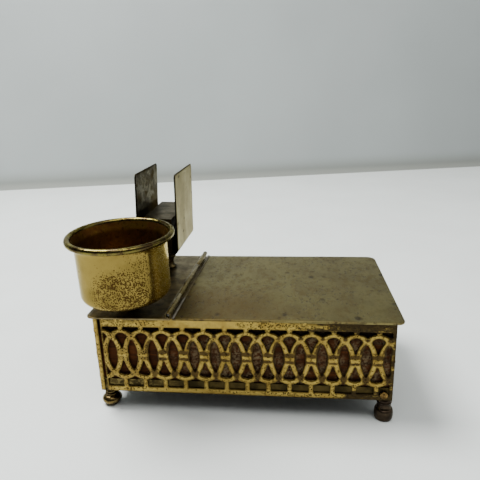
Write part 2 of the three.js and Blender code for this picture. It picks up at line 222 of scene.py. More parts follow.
def gallery_brass():
    """Gold on its high parts and brown in the hollows of the pattern, from wear and painted shade; pitted,
    with painted shade along the edges of the holes, and nearly black at the right end.
    """
    f = Finish("gallery brass")
    # Brightness from wear, with painted shade in the hollows beside the collars and where strands pass each
    # other.
    bright = f.plus(f.value("wear_and_shade"), f.swing(f.noise(3.5, 5, 0.7), 1.3))
    bright = f.most(f.ramp(bright, 0.35, 0.8), f.times(f.along(0, -34, -52), 0.75))
    cloud = f.ramp(f.noise(5, 4, 0.6), 0.38, 0.66)
    gold = f.blend(cloud, rgb(152, 129, 64), rgb(126, 103, 48))
    colour = f.blend(bright, rgb(64, 50, 26), gold)
    specks = f.ramp(f.cells(0.9), 0.42, 0.24)
    low_border = f.times(f.along(0, 4, 22), f.along(2, -29, -33))
    top_border = f.times(f.along(0, -6, 14), f.along(2, -8, -4))
    crowd = f.most(f.along(0, -32, -52), f.most(low_border, top_border))
    crowd = f.plus(f.times(crowd, 0.27), f.noise(4, 4, 0.65, shift=(3, 1, 7)))
    specks = f.times(specks, f.ramp(crowd, 0.5, 0.64))
    grime = f.ramp(f.noise(1.0, 4, 0.7, shift=(9, 2, 4)), 0.56, 0.64)
    dirt_and_edge_shade = f.most(specks, f.times(grime, 0.75))
    clean = f.times(f.along(0, -34, -28), f.times(f.along(0, 2, -8), f.along(2, -8, -5)))
    dirt_and_edge_shade = f.times(dirt_and_edge_shade, f.minus(1.0, f.times(clean, 0.75)))
    # Painted shade: darker along the edges of the holes and of the sheet.
    dirt_and_edge_shade = f.most(dirt_and_edge_shade, f.times(f.value("edge"), 0.8))
    ends = f.most(f.along(0, -28, -38), f.along(0, 8, 30))
    seam = f.ramp(f.noise(2.4, 5, 0.7, shift=(6, 0, 2)), 0.44, 0.54)
    seam = f.times(f.times(seam, ends), f.along(2, -4.6, -2.2))
    dirt_and_edge_shade = f.most(dirt_and_edge_shade, f.times(seam, 0.8))
    colour = f.stain(colour, dirt_and_edge_shade, 0.9, rgb(40, 30, 17))
    # Darker, in streaky patches, towards the right end.
    top_end = f.times(f.along(0, 6, 46), f.along(2, -9, -4))
    low_end = f.times(f.along(0, 32, 48), f.along(2, -30, -34.5))
    edge = f.along(0, 58, 62)
    toward_right_end = f.most(f.most(top_end, low_end), f.times(edge, 0.7))
    streaks = f.noise(2.6, 5, 0.7, stretch=(0.4, 1, 1.1))
    patchy = f.ramp(f.plus(toward_right_end, f.swing(streaks, 2.6)), 0.45, 0.75)
    patchy = f.times(patchy, f.ramp(toward_right_end, 0.02, 0.25))
    colour = f.stain(colour, patchy, 0.92, rgb(46, 37, 25))
    rough = f.ramp(f.plus(dirt_and_edge_shade, patchy), 0, 1.2, 0.24, 0.5)
    return f.finish(colour, rough, [(f.noise(0.9, 3), 0.1), (dirt_and_edge_shade, -0.08), (f.noise(7, 2), 0.25)])


def cup_brass():
    """Gold, with a crowd of small brown pits low on the front and more of them thinly to the right."""
    f = Finish("cup brass", glance=(0.93, 0.87, 0.66))
    cloud = f.noise(9, 4, 0.6)
    colour = f.blend(f.ramp(cloud, 0.35, 0.68), rgb(129, 110, 55), rgb(108, 91, 43))
    # Painted shade: darker towards the cup's left side, dimming its bright reflection there.
    colour = f.stain(colour, f.along(0, CUP.x - 8, CUP.x - 17), 0.6, rgb(104, 86, 42))
    # Painted light: a bright strip along the cup's right edge.
    painted_right_edge_light = f.along(0, CUP.x + 15.6, CUP.x + 17.2)
    colour = f.stain(colour, painted_right_edge_light, 0.8, rgb(226, 200, 112))
    crowd = f.ramp(f.near((CUP.x + 4.5, CUP.y - 18, 12), 18, (1.0, 0.5, 1.15)), 0.0, 0.8)
    right = f.times(f.along(0, CUP.x + 5, CUP.x + 13), 0.6)
    crowd = f.most(crowd, right)
    ragged = f.swing(f.noise(0.55, 4, 0.7), 1.6)
    patches = f.swing(f.noise(2.6, 4, 0.65), 0.7)
    spacing = f.plus(f.cells(0.62), f.plus(ragged, patches))
    pits = f.ramp(f.minus(spacing, f.times(crowd, 0.43)), 0.1, -0.04)
    pits = f.times(pits, f.ramp(crowd, 0.05, 0.25))
    stray = f.times(f.ramp(f.cells(3.4), 0.14, 0.05), 0.7)
    pits = f.most(pits, stray)
    colour = f.stain(colour, pits, 0.82, rgb(62, 38, 19))
    rough = f.ramp(f.plus(pits, f.times(cloud, 0.3)), 0, 1.2, 0.17, 0.55)
    return f.finish(colour, rough, [(pits, -0.1), (f.noise(1.4, 3), 0.05), (f.noise(12, 2), 0.35)])


def cup_rim_brass():
    """Polished by handling, with brown and purplish stains."""
    f = Finish("cup rim brass", glance=(0.94, 0.89, 0.7))
    colour = f.blend(f.ramp(f.noise(6, 4, 0.55), 0.42, 0.6), rgb(104, 95, 47), rgb(72, 60, 38))
    stain = f.ramp(f.noise(4, 3, 0.5, shift=(4, 8, 1)), 0.52, 0.64, 0.0, 0.8)
    colour = f.blend(stain, colour, rgb(60, 44, 28))
    rough = f.ramp(f.noise(2.5, 3), 0.35, 0.7, 0.17, 0.32)
    return f.finish(colour, rough, [(f.noise(1.6, 3, 0.6), 0.05), (f.noise(6, 2), 0.2)])


def cup_inside_brass():
    f = Finish("cup inside brass")
    cloud = f.ramp(f.noise(9, 5, 0.62), 0.36, 0.64)
    colour = f.blend(cloud, rgb(142, 112, 46), rgb(102, 68, 32))
    spots = f.ramp(f.noise(1.6, 4, 0.7, shift=(5, 5, 5)), 0.55, 0.66)
    colour = f.stain(colour, spots, 0.6, rgb(60, 34, 18))
    return f.finish(colour, f.ramp(cloud, 0, 1, 0.3, 0.45), [(f.noise(1.2, 3), 0.08)])


def lid_brass():
    """Dull olive brown, a little warmer at its front left, mottled, with scattered dark spots."""
    f = Finish("lid brass")
    cloud = f.noise(16, 5, 0.6, stretch=(1.2, 0.8, 1))
    colour = f.blend(f.ramp(cloud, 0.38, 0.62), rgb(122, 113, 71), rgb(107, 96, 59))
    warm = f.near((-10, -28, 0), 36, (0.8, 1.2, 1))
    colour = f.stain(colour, warm, 0.8, rgb(92, 75, 38))
    mottle = f.ramp(f.noise(4, 5, 0.7, stretch=(1.3, 0.7, 1)), 0.46, 0.62)
    colour = f.stain(colour, mottle, 0.28, rgb(86, 66, 38))
    ragged = f.swing(f.noise(2, 4, 0.7), 0.12)
    spots = f.ramp(f.plus(f.cells(12, stretch=(1, 0.8, 0)), ragged), 0.15, 0.06)
    spots = f.times(spots, f.ramp(f.noise(17, 2, shift=(5, 1, 3)), 0.34, 0.46))
    fine = f.ramp(f.noise(1.9, 4, 0.7, stretch=(1.2, 0.7, 1), shift=(7, 3, 0)), 0.55, 0.6)
    fine = f.times(fine, f.ramp(f.noise(9, 3, shift=(2, 2, 2)), 0.4, 0.54))
    spots = f.most(spots, f.times(fine, 0.8))
    colour = f.stain(colour, spots, 0.8, rgb(40, 30, 26))
    rough = f.ramp(f.plus(cloud, mottle), 0.3, 1.5, 0.34, 0.44)
    return f.finish(colour, rough, [(f.noise(0.7, 3), 0.03), (f.noise(14, 2), 0.12), (spots, -0.05)])


def dark_brass(name="dark brass", light=(96, 84, 58), dark=(52, 44, 32), rough=0.42):
    """Cloudy between two screen colours, and worn brighter in small patches."""
    f = Finish(name)
    cloud = f.noise(7, 5, 0.62)
    colour = f.blend(f.ramp(cloud, 0.35, 0.65), rgb(*light), rgb(*dark))
    worn = f.ramp(f.noise(2.2, 4, 0.6), 0.58, 0.72)
    colour = f.stain(colour, worn, 0.4, rgb(150, 124, 74))
    return f.finish(colour, f.ramp(cloud, 0.3, 0.7, rough - 0.08, rough + 0.08), [(f.noise(0.8, 3), 0.06)])


def pale_brass():
    """The outer faces of the holder: dull and pale, with dark flecks, and painted shade along its edges."""
    f = Finish("pale brass")
    cloud = f.noise(12, 4, 0.6, stretch=(1, 1, 0.6))
    colour = f.blend(f.ramp(cloud, 0.35, 0.65), rgb(164, 153, 110), rgb(143, 132, 92))
    mottle = f.ramp(f.noise(2.4, 4, 0.65), 0.46, 0.66)
    colour = f.stain(colour, mottle, 0.3, rgb(120, 110, 78))
    flecks = f.ramp(f.cells(4, stretch=(0, 0.4, 1)), 0.24, 0.1)
    flecks = f.times(flecks, f.ramp(f.noise(8, 3, shift=(1, 4, 2)), 0.38, 0.5))
    # Painted shade: the edges are as dark as the flecks.
    flecks = f.most(f.times(flecks, 0.75), f.value("edge"))
    colour = f.stain(colour, flecks, 0.9, rgb(60, 54, 42))
    # The specular tint is lower at the flecks and mottling, and, as painted shade, at the edges.
    worn = f.most(flecks, f.times(mottle, 0.3))
    f.feed(f.shader, {"Specular Tint": f.blend(worn, rgb(241, 238, 228), rgb(160, 152, 136))})
    rough = f.ramp(cloud, 0.3, 0.7, 0.38, 0.5)
    return f.finish(colour, rough, [(f.noise(0.8, 3), 0.04), (f.noise(15, 2), 0.15)])


def inner_patina_and_shade():
    """The faces of the holder that face each other, and its edges: nearly black, partly dark patina and
    partly painted shade, with olive patches worn into it.
    """
    f = Finish("inner patina and shade brass")
    patches = f.noise(4.5, 5, 0.7, stretch=(1, 0.5, 0.8))
    colour = f.blend(f.ramp(patches, 0.46, 0.56), rgb(40, 38, 32), rgb(106, 102, 84))
    mottle = f.ramp(f.noise(2.2, 4, 0.7, stretch=(1, 0.5, 1)), 0.5, 0.6)
    colour = f.stain(colour, mottle, 0.6, rgb(40, 34, 24))
    # Painted shade: darker still along the edges.
    colour = f.stain(colour, f.value("edge"), 0.8, rgb(26, 22, 16))
    # Painted shade: darker below the top of the seat, with a lower specular tint there too.
    low = f.along(2, 35, 33)
    colour = f.stain(colour, low, 0.85, rgb(24, 19, 12))
    sheen = f.blend(f.ramp(patches, 0.44, 0.6), rgb(214, 208, 196), rgb(240, 238, 230))
    sheen = f.blend(f.most(f.times(mottle, 0.7), low), sheen, rgb(176, 168, 148))
    f.feed(f.shader, {"Specular Tint": sheen})
    return f.finish(colour, f.ramp(patches, 0.35, 0.7, 0.4, 0.52), [(f.noise(0.9, 3), 0.06)])


def tray_brass():
    """Olive on its flanges, and painted nearly black underneath as shade."""
    f = Finish("tray brass")
    cloud = f.noise(6, 5, 0.62)
    colour = f.blend(f.ramp(cloud, 0.35, 0.65), rgb(66, 55, 29), rgb(42, 35, 19))
    dusty = f.times(f.along(0, -20, -50), f.ramp(f.noise(1.6, 4, 0.7), 0.46, 0.6))
    colour = f.stain(colour, dusty, 0.7, rgb(112, 98, 58))
    # Painted shade: the tray's underside is nearly black.
    under = f.along(2, PANEL_FOOT + 0.9, PANEL_FOOT + 0.2)
    colour = f.blend(under, colour, rgb(34, 28, 20))
    return f.finish(colour, f.ramp(cloud, 0.3, 0.7, 0.38, 0.5), [(f.noise(0.8, 3), 0.06)])


def steel():
    f = Finish("dark wire")
    cloud = f.noise(2, 4)
    colour = f.blend(f.ramp(cloud, 0.4, 0.65), rgb(96, 94, 90), rgb(60, 54, 48))
    return f.finish(colour, 0.4, [(f.noise(0.5, 3), 0.05)])


def cedar():
    """Reddish brown with the grain along it, dusty towards the middle of its front, and in painted shade near
    its top, under the lid.
    """
    f = Finish("cedar", metallic=0.0)
    f.feed(f.shader, {"Specular IOR Level": 0.06})
    rings = f.noise(2.6, 5, 0.65, stretch=(0.1, 1, 1.0), warp=0.4)
    pores = f.noise(0.7, 4, 0.6, stretch=(0.08, 1.6, 1.6))
    colour = f.blend(f.ramp(rings, 0.36, 0.62), rgb(84, 46, 21), rgb(50, 27, 12))
    colour = f.blend(f.ramp(pores, 0.5, 0.66, 0.0, 0.6), colour, rgb(30, 15, 8))
    specks = f.ramp(f.noise(1.1, 4, 0.75), 0.42, 0.58)
    dust = f.times(f.along(0, -40, -14), f.times(specks, f.ramp(f.noise(5, 3), 0.35, 0.65)))
    dust = f.times(dust, f.along(1, -33, -34.5))
    colour = f.stain(colour, dust, 0.85, rgb(124, 108, 80))
    # Painted shade: nearly black near the top of the lining.
    shade = f.along(2, -12, -7)
    colour = f.stain(colour, shade, 0.85, rgb(14, 9, 6))
    return f.finish(colour, 0.78, [(pores, 0.12), (rings, 0.1)])


def table_top():
    f = Finish("table", metallic=0.0)
    colour = f.blend(f.ramp(f.noise(90, 3), 0.3, 0.7), rgb(237, 242, 238), rgb(232, 237, 233))
    return f.finish(colour, f.ramp(f.noise(40, 3), 0.3, 0.7, 0.42, 0.5), [(f.noise(0.6, 2), 0.01)])


def wall_paint():
    """Pale grey, with a soft band of painted shade along its foot."""
    f = Finish("wall", metallic=0.0)
    colour = f.blend(f.ramp(f.noise(220, 3), 0.3, 0.7), rgb(175, 181, 180), rgb(169, 175, 174))
    # Painted shade along the wall's foot, where it meets the table.
    foot = f.along(2, FLOOR + 32, FLOOR)
    return f.finish(f.stain(colour, foot, 0.9, rgb(140, 143, 135)), 0.9, [])


GALLERY, CUP_OUT, CUP_RIM, CUP_IN = gallery_brass(), cup_brass(), cup_rim_brass(), cup_inside_brass()
LID, FIXED = lid_brass(), dark_brass("fixed plate brass", (119, 106, 73), (77, 66, 46), 0.38)
DARK, PALE, INNER_PATINA_AND_SHADE, WIRE, CEDAR = dark_brass(), pale_brass(), inner_patina_and_shade(), steel(), cedar()


# ---- making meshes ----
def linked(name, data):
    obj = bpy.data.objects.new(name, data)
    bpy.context.scene.collection.objects.link(obj)
    return obj


def piece(name, node, shape, material, turn=Matrix.Identity(4), body="case"):
    """A piece that stands for a CAD node. Its shape is its points, in millimetres, and its faces."""
    verts, faces = shape
    mesh = bpy.data.meshes.new(name)
    matrix = TO_ROW @ turn
    mesh.from_pydata([matrix @ Vector(v) for v in verts], [], faces)
    mesh.validate()
    obj = linked(name, mesh)
    for m in material if isinstance(material, list) else [material]:
        mesh.materials.append(m)
    mesh.shade_smooth()
    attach(obj, body)
    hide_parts(node)
    return obj


def arc(x, y, radius, start, end, steps):
    angles = [radians(start + (end - start) * i / steps) for i in range(steps + 1)]
    return [(x + radius * cos(a), y + radius * sin(a)) for a in angles]


def circle(x, y, radius):
    return arc(x, y, radius, 0, 345, 23)


def lathe(profile, sides, wobble=lambda angle, r, z: r):
    """Turns a profile of (radius, height) points. It starts and ends on the axis, or closes on itself."""
    closed = profile[0][0] > 1e-6
    verts, rows = [], []
    for r, z in profile:
        if r < 1e-6:
            rows.append([len(verts)] * sides)
            verts.append((0, 0, z))
            continue
        rows.append(list(range(len(verts), len(verts) + sides)))
        for k in range(sides):
            angle = 2 * pi * k / sides
            rr = wobble(angle, r, z)
            verts.append((rr * cos(angle), rr * sin(angle), z))
    faces = []
    pairs = zip(rows, rows[1:] + rows[:1]) if closed else zip(rows, rows[1:])
    for low, high in pairs:
        for k in range(sides):
            n = (k + 1) % sides
            loop = [low[k], low[n], high[n], high[k]]
            faces.append([v for i, v in enumerate(loop) if v != loop[i - 1]])
    return verts, faces


def dense(loop, step):
    """The same closed outline with no stretch longer than step."""
    out = []
    for (x0, y0), (x1, y1) in zip(loop, loop[1:] + loop[:1]):
        count = max(1, ceil(hypot(x1 - x0, y1 - y0) / step))
        out += [(x0 + (x1 - x0) * i / count, y0 + (y1 - y0) * i / count) for i in range(count)]
    return out


def area(loop):
    return sum(x0 * y1 - x1 * y0 for (x0, y0), (x1, y1) in zip(loop, loop[1:] + loop[:1])) / 2


def facing(loop, sign):
    return loop if area(loop) * sign > 0 else loop[::-1]


def inside(points, loop):
    """Which points lie in a closed outline."""
    x, y = points[:, 0], points[:, 1]
    hit = np.zeros(len(points), bool)
    for (x0, y0), (x1, y1) in zip(loop, loop[1:] + loop[:1]):
        if y0 == y1:
            continue
        cross = (y0 > y) != (y1 > y)
        hit ^= cross & (x < (x1 - x0) * (y - y0) / (y1 - y0) + x0)
    return hit


def beside(loop, distance):
    """Points at that distance to the left of an outline: in the material, for an outline that faces it."""
    out = []
    for i, (x, y) in enumerate(loop):
        (x0, y0), (x1, y1) = loop[i - 1], loop[(i + 1) % len(loop)]
        length = hypot(x1 - x0, y1 - y0) or 1
        out.append((x - (y1 - y0) / length * distance, y + (x1 - x0) / length * distance))
    return out


def sheet(outline, holes, thickness, step, edge, relief=None, finer=()):
    """A sheet with rounded edges from its outline and holes in (u, v). Returns its points (u, v, w), its
    faces and each point's distance from the nearest edge. The faces are the outer ones, as many inner
    ones, then the edge. w runs from 0 to thickness, plus what relief(u, v) adds to the outer face."""
    loops = [dense(facing(outline, 1), step)] + [dense(facing(h, -1), step) for h in holes]
    points = [p for loop in loops for p in loop]
    edges, start = [], 0
    for loop in loops:
        edges += [(start + i, start + (i + 1) % len(loop)) for i in range(len(loop))]
        start += len(loop)
    rim = kdtree.KDTree(len(points))
    for i, (u, v) in enumerate(points):
        rim.insert((u, v, 0), i)
    rim.balance()

    def away(u, v):
        return rim.find((u, v, 0))[2]

    def in_sheet(spots):
        places = np.array(spots)
        good = inside(places, loops[0])
        for loop in loops[1:]:
            good &= ~inside(places, loop)
        return good

    inner = []
    for share in (0.3, 1.0):
        for loop in loops:
            inner += [(p, share * edge * 0.8) for p in beside(loop, share * edge)]
    us, vs = [u for u, _ in loops[0]], [v for _, v in loops[0]]
    u0, v0, row = min(us), min(vs), step * sqrt(3) / 2
    for j in range(int((max(vs) - v0) / row) + 1):
        for i in range(int((max(us) - u0) / step) + 1):
            inner.append(((u0 + (i + j % 2 / 2) * step, v0 + j * row), edge + step * 0.4))
    inner += [(p, edge * 1.2) for p in finer]
    good_spots = in_sheet([p for p, _ in inner])
    points += [p for (p, gap), good in zip(inner, good_spots) if good and away(*p) > gap]

    flat, _, triangles, *_ = geometry.delaunay_2d_cdt([Vector(p) for p in points], edges, [], 1, 1e-6)
    middles = [sum((flat[i] for i in t), Vector((0, 0))) / 3 for t in triangles]
    triangles = [t for t, good in zip(triangles, in_sheet(middles)) if good]

    count = len(flat)
    raised = [relief(*p) if relief else 0.0 for p in flat]
    top, bottom = [], []
    gaps = [away(u, v) for u, v in flat]
    for (u, v), rise, gap in zip(flat, raised, gaps):
        inset = min(gap, edge)
        drop = edge - sqrt(max(0.0, edge**2 - (edge - inset) ** 2))
        top.append((u, v, thickness + rise * inset / edge - drop))
        bottom.append((u, v, drop))
    faces = [list(t) for t in triangles] + [[i + count for i in reversed(t)] for t in triangles]
    sides = {}
    for t in triangles:
        for a, b in zip(t, t[1:] + t[:1]):
            if (b, a) in sides:
                del sides[(b, a)]
            else:
                sides[(a, b)] = True
    faces += [[b, a, a + count, b + count] for a, b in sides]
    return top + bottom, faces, gaps + gaps


def store(obj, attribute, values):
    layer = obj.data.attributes.new(attribute, "FLOAT", "POINT")
    layer.data.foreach_set("value", np.array(values, np.float32))


# ---- the pierced panels ----
# Each oval, as its half width and half height: the inner edge of its strand, the outer edge and the middle.
INNER = (PITCH - STRAND, OVAL_RISE - STRAND / 2)
OUTER = (PITCH, OVAL_RISE + STRAND / 2)
CENTRE = (PITCH - STRAND / 2, OVAL_RISE)


def half_width(oval, y):
    return oval[0] * sqrt(max(0.0, 1 - (y / oval[1]) ** 2))


def height_at(oval, x):
    return oval[1] * sqrt(max(0.0, 1 - (x / oval[0]) ** 2))


def spread(start, end, count):
    """Evenly spaced values, both ends included."""
    return [start + (end - start) * i / (count - 1) for i in range(count)]


def bump_at(x, middle, width):
    """1 in the middle, falling off smoothly over that width."""
    return exp(-(((x - middle) / width) ** 2))


def lens_hole():
    """Between two ovals, with rounded ends, and pinched where the collars reach in."""
    tip = height_at(INNER, PITCH / 2)
    middle = INNER[0] - PITCH / 2
    pinch = 0.35

    def half(y):
        pointed = half_width(INNER, y) - PITCH / 2
        rounded = middle * sqrt(1 - (y / tip) ** 2)
        return 0.6 * pointed + 0.4 * rounded - pinch * bump_at(y, 0, 0.8)

    right = [(half(y), y) for y in (tip * sin(t) for t in spread(-1.45, 1.45, 25))]
    return [(0, -tip)] + right + [(0, tip)] + [(-x, y) for x, y in reversed(right)]


def fan_hole(side):
    """The opening above a collar, or below it for side -1: pointed at the collar, and wide at its crown."""
    point, shoulder = 3.0, 8.6
    flank = [(PITCH - half_width(OUTER, y), y) for y in spread(point + 0.5, shoulder, 7)]
    reach = flank[-1][0]
    dome = 0.5 if side > 0 else 0.1
    across = spread(reach - 0.45, 0.45 - reach, 9)
    crown = [(x, side * (height_at(INNER, x) + dome * (1 - (x / reach) ** 2))) for x in across]
    right = [(x, side * y) for x, y in flank]
    left = [(-x, y) for x, y in reversed(right)]
    return [(0, side * point)] + right + crown + left


def border_hole(edge, tie, side):
    """The opening between a border and two ovals, along the top, or along the foot for side -1."""
    end = (PITCH - tie) / 2
    lower = [(x, side * (height_at(OUTER, PITCH / 2 - abs(x)))) for x in spread(end, -end, 13)]
    nick = 0.25
    return [(-end, side * (edge - nick)), (nick - end, side * edge), (end - nick, side * edge),
            (end, side * (edge - nick))] + lower


def clipped(loop, limit, keep_below):
    """The part of an outline on one side of u = limit."""
    def good(p):
        return (p[0] <= limit) == keep_below
    out = []
    for a, b in zip(loop, loop[1:] + loop[:1]):
        if good(a):
            out.append(a)
        if good(a) != good(b):
            t = (limit - a[0]) / (b[0] - a[0])
            out.append((limit, a[1] + (b[1] - a[1]) * t))
    return out


def pierced_holes(start, end, tie):
    upper = border_hole(PANEL_HEIGHT - UPPER_BORDER - MIDDLE, UPPER_TIE, 1)
    lower = border_hole(MIDDLE - LOWER_BORDER, LOWER_TIE, -1)
    at_tie = [fan_hole(1), fan_hole(-1)]
    between = [upper, lower, lens_hole()]
    holes = []
    for n in range(floor((start - tie) / PITCH) - 1, ceil((end - tie) / PITCH) + 1):
        for shapes, offset in ((at_tie, 0), (between, PITCH / 2)):
            for shape in shapes:
                loop = [(u + tie + n * PITCH + offset, v + MIDDLE) for u, v in shape]
                loop = clipped(clipped(loop, end - END_EDGE, True), start + EDGE, False)
                if len(loop) > 2 and abs(area(loop)) > 0.4:
                    holes.append(loop)
    return holes


CROWN = 0.16  # how far the middle of a strand stands out
WEAVE = 0.12  # how far the strands rise and sink where they cross
COLLAR = Sizes(half=1.6, tall=0.5, height=0.3)


def strand_relief(tie):
    def relief(u, v):
        y = v - MIDDLE
        nearest = round((u - tie) / PITCH)
        best = 0.0
        for n in range(nearest - 1, nearest + 2):
            x = u - tie - n * PITCH
            round_way = hypot(x / CENTRE[0], y / CENTRE[1])
            if round_way < 0.3:
                continue
            slope = hypot(x / CENTRE[0] ** 2, y / CENTRE[1] ** 2) / round_way
            across = abs(round_way - 1) / slope / (STRAND / 2)
            if across < 1:
                turn = atan2(y / CENTRE[1], x / CENTRE[0])
                best = max(best, CROWN * sqrt(1 - across**2) + WEAVE * (1 + sin(2 * turn)) / 2)
        x = u - tie - nearest * PITCH
        bar = max(abs(x) / COLLAR.half, abs(y) / COLLAR.tall)
        if bar < 1.25:
            best = max(best, COLLAR.height * min(1.0, (1.25 - bar) / 0.35))
        return best
    return relief


def wear_and_shade(tie):
    """How bright the brass is, from wear and painted shade: least beside the collars, above and below them,
    and at the feet of the lens-shaped holes."""
    def value(u, v):
        y = v - MIDDLE
        x = u - tie - round((u - tie) / PITCH) * PITCH
        if max(abs(x) / COLLAR.half, abs(y) / COLLAR.tall) < 1.05:
            return 1.2
        by_collar = bump_at(x, 0, 2.8) * max(bump_at(y, 1.7, 1.15), 0.9 * bump_at(y, -1.5, 0.85))
        by_side = bump_at(abs(x), 2.6, 1.0) * bump_at(y, 0, 3.2)
        lens_foot = bump_at(abs(x), PITCH / 2, 1.6) * bump_at(y, -8.2, 2.6)
        lens_head = bump_at(abs(x), PITCH / 2, 1.2) * bump_at(y, 9.7, 0.9) * 0.8
        under_strand = bump_at(x, 0.9 + 0.36 * y, 1.0) * bump_at(y, 5.2, 3.0)
        return 1 - max(by_collar, by_side, lens_foot, lens_head, under_strand)
    return value


def collar_points(start, end, tie):
    """Extra points on the small collars, so that they keep their shape."""
    spots = []
    for n in range(floor((start - tie) / PITCH), ceil((end - tie) / PITCH) + 1):
        middle = tie + n * PITCH
        spots += [(middle + x, MIDDLE + y) for x in spread(-2.2, 2.2, 9) for y in spread(-0.65, 0.65, 7)]
    return spots


def within(value, start, end, outside):
    """The same function between start and end along a panel, and a fixed value beyond them."""
    return lambda u, v: value(u, v) if start < u < end else outside


def panel(name, node, start, end, tie, shape, flanges=0.0):
    """A pierced panel. shape(u, w) gives the place (x, y) of a point u along the panel and w out of it."""
    low, high = start - flanges, end + flanges
    outline = [(low, 0), (high, 0), (high, PANEL_HEIGHT), (low, PANEL_HEIGHT)]
    holes = pierced_holes(start, end, tie)
    raised = within(strand_relief(tie), start, end, 0.0)
    points, faces, gaps = sheet(outline, holes, SHEET, step=0.55, edge=0.2, relief=raised,
                                finer=collar_points(start, end, tie))
    placed = [(*shape(u, w - SHEET), v + PANEL_FOOT) for u, v, w in points]
    obj = piece(name, node, (placed, faces), GALLERY)
    bright = within(wear_and_shade(tie), start, end, 1.0)
    store(obj, "wear_and_shade", [bright(u, v) for u, v, _ in points])
    store(obj, "edge", [bump_at(gap, 0, 0.45) for gap in gaps])


def folded(u, w):
    """The left panel, which is folded round both left corners on a small radius."""
    bend = 0.7
    straight = HALF_DEPTH - bend
    side = 1 if u > 0 else -1
    past = abs(u) - straight
    if past <= 0:
        return BODY_LEFT - w, u
    angle = min(past / bend, pi / 2)
    beyond = max(0.0, past - bend * pi / 2)
    return (BODY_LEFT + bend - (bend + w) * cos(angle) + beyond,
            side * (straight + (bend + w) * sin(angle)))


def panels():
    x0, x1 = (corner.x for corner in plate_box("gallery_front"))
    y0, y1 = (corner.y for corner in plate_box("gallery_right"))
    panel("front_fretwork", "gallery_front", x0, x1, FRONT_TIE_X, lambda u, w: (u, -HALF_DEPTH - w))
    panel("back_fretwork", "gallery_back", x0, x1, FRONT_TIE_X, lambda u, w: (u, HALF_DEPTH + w))
    panel("right_fretwork", "gallery_right", y0, y1, 0, lambda u, w: (BODY_RIGHT + w, u))
    plain = 0.3  # without pattern, before each fold
    flat = HALF_DEPTH - plain
    panel("left_fretwork", "gallery_left", -flat, flat, 0, folded, RETURN_FLANGE - plain)


panels()


# ---- plates ----
def top_plate(x0, x1):
    """The outline of a plate with two round corners, cut off straight along the skew hinge."""
    y = PLATE.depth / 2
    outer, hinge = (x0, x1) if abs(x0) > abs(x1) else (x1, x0)
    side = 1 if outer > 0 else -1
    slant = -y * tan(radians(HINGE.skew))
    front, back = PLATE.front_radius, PLATE.back_radius
    return (arc(outer - side * front, front - y, front, 270, 270 + side * 90, 10)
            + arc(outer - side * back, y - back, back, 90 - side * 90, 90, 10)
            + [(hinge + slant, y), (hinge - slant, -y)])


def unevenness(depth, size, seed):
    def relief(u, v):
        return depth * noise.noise(Vector((u / size, v / size, seed)))
    return relief


def plates():
    thickness, half = PLATE.thickness, PLATE.length / 2
    holes = [circle(part.x, part.y, SCREW.hole + LEAN_GAP) for part in (CUP, HOLDER)]
    fixed_end, lid_start = HINGE.x + PLATE.under_hinge, HINGE.x + HINGE.barrel + PLATE.lid_gap
    for name, node, outline, cuts, material, body in (
        ("fixed_top", "fixed_plate", top_plate(-half, fixed_end), holes, FIXED, "case"),
        ("lid_top", "lid_plate", top_plate(lid_start, half), [], LID, "lid"),
    ):
        uneven = unevenness(0.1, 22, 3.7)
        points, faces, _ = sheet(outline, cuts, thickness, step=2.5, edge=0.22, relief=uneven)
        placed = [(u, v, w - thickness) for u, v, w in points]
        piece(name, node, (placed, faces), material, body=body)


plates()


# ---- hinge ----
def extruded(outline, y0, y1, edge):
    """An outline in x and z, drawn out along y, with its ends' edges rounded."""
    loop = facing(outline, 1)
    part = edge * 0.3
    steps = [(y0, edge), (y0 + part, part), (y0 + edge, 0), (y1 - edge, 0), (y1 - part, part), (y1, edge)]
    verts = []
    for y, inset in steps:
        verts += [(x, y, z) for x, z in (beside(loop, inset) if inset else loop)]
    n = len(loop)
    faces = [[s * n + i, s * n + (i + 1) % n, (s + 1) * n + (i + 1) % n, (s + 1) * n + i]
             for s in range(len(steps) - 1) for i in range(n)]
    faces += [list(range(n)), [len(verts) - 1 - i for i in range(n)]]
    return verts, [f[::-1] for f in faces]


def joined(*parts):
    verts, faces = [], []
    for v, f in parts:
        faces += [[i + len(verts) for i in face] for face in f]
        verts += v
    return verts, faces


